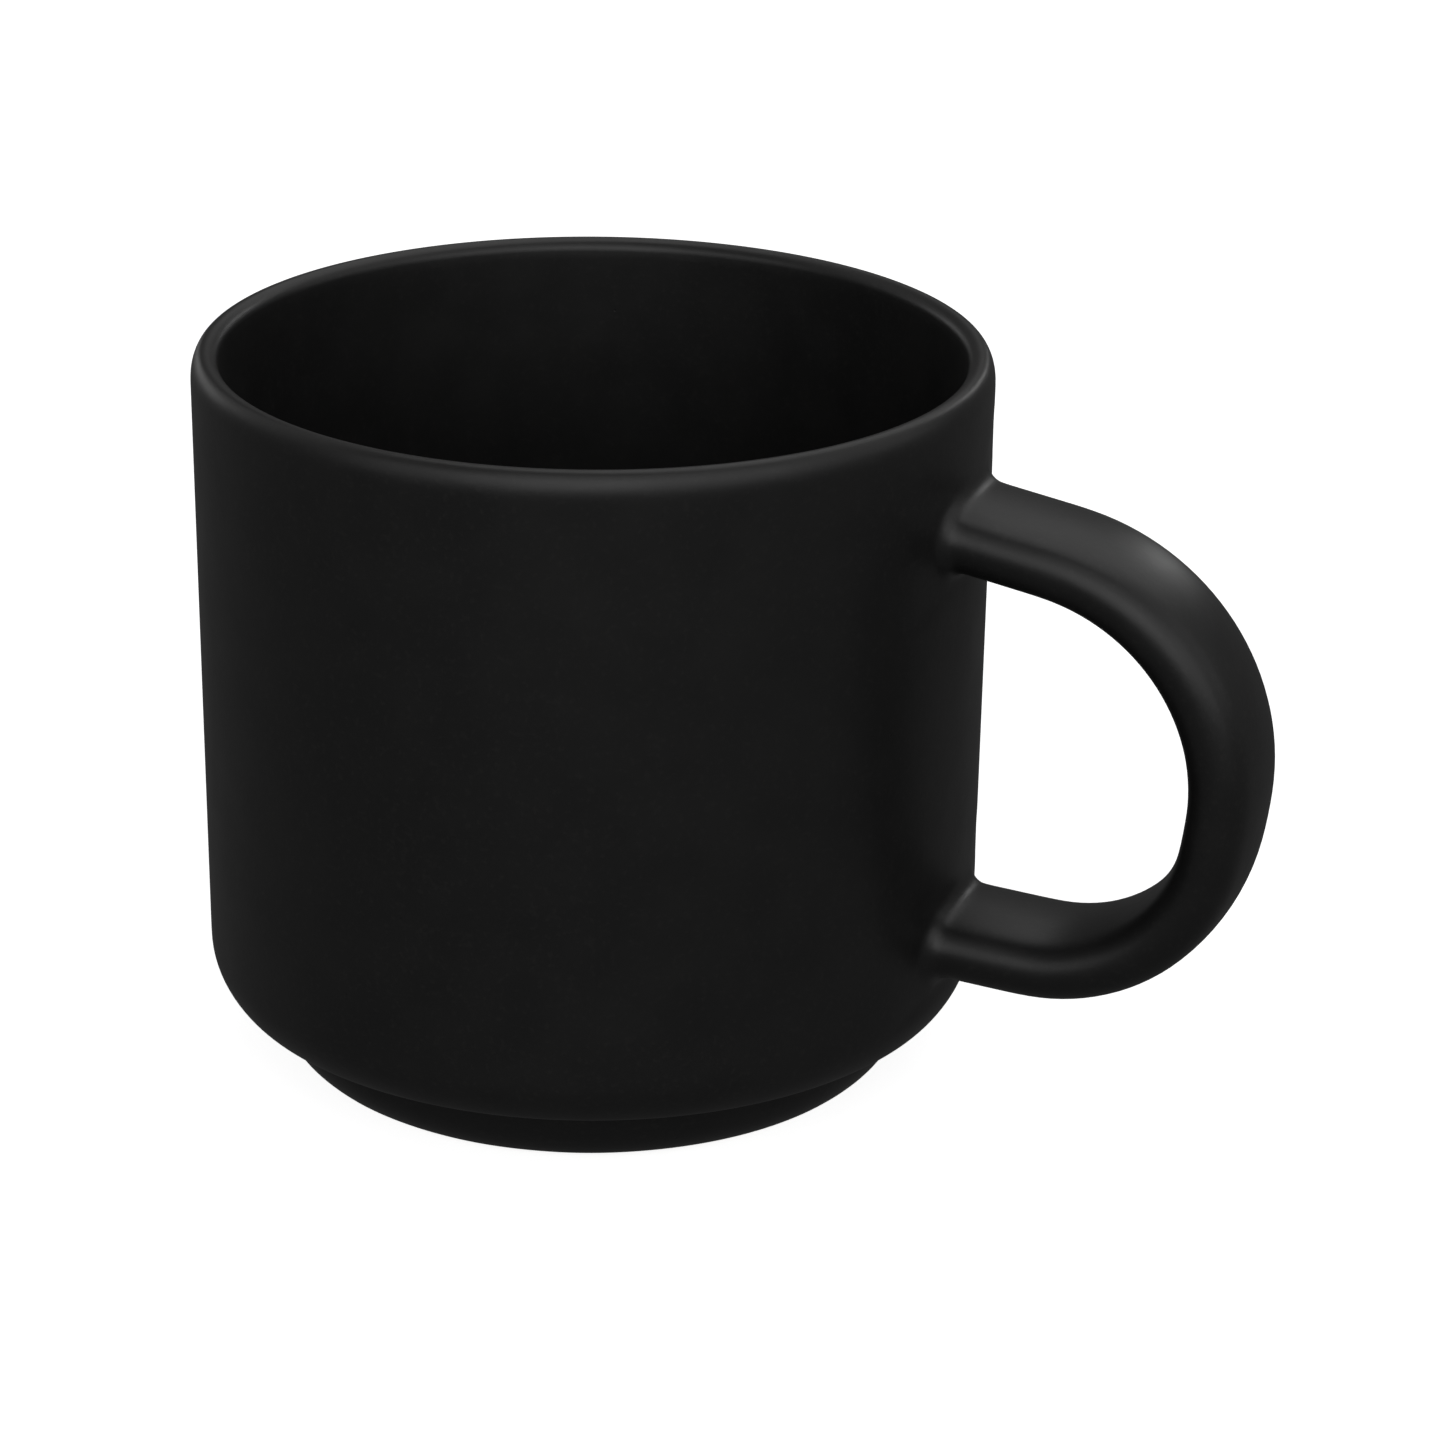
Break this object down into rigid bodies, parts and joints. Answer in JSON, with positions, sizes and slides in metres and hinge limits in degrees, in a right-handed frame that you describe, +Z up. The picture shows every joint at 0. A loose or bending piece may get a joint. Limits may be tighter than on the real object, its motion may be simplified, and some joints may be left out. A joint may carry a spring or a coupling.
{
  "type": "ceramic mug",
  "caption": "Straight-sided stacking mug in black glazed stoneware with a rounded lip, a stepped foot ring and a D-shaped strap handle.",
  "frame": {"origin": "on the cup's axis, in the plane that the foot ring stands on", "axes": "+Z up along the cup's axis, +X from the axis towards the handle, and XZ is the plane that halves the handle"},
  "size_m": [0.1276, 0.092, 0.086],
  "materials": {
    "black_glaze": "satin black glaze, fine even grain, soft highlights",
    "stoneware": "bare fired stoneware, matt, fine sandy grain",
    "joining_slip": "fired joining slip, matt and smooth"
  },
  "bodies": {
    "root": {"cup_body": "stoneware", "handle": "stoneware", "upper_slip_joint": "joining_slip", "lower_slip_joint": "joining_slip", "glaze_coat": "black_glaze", "base_glaze": "black_glaze"}
  },
  "joints": []
}
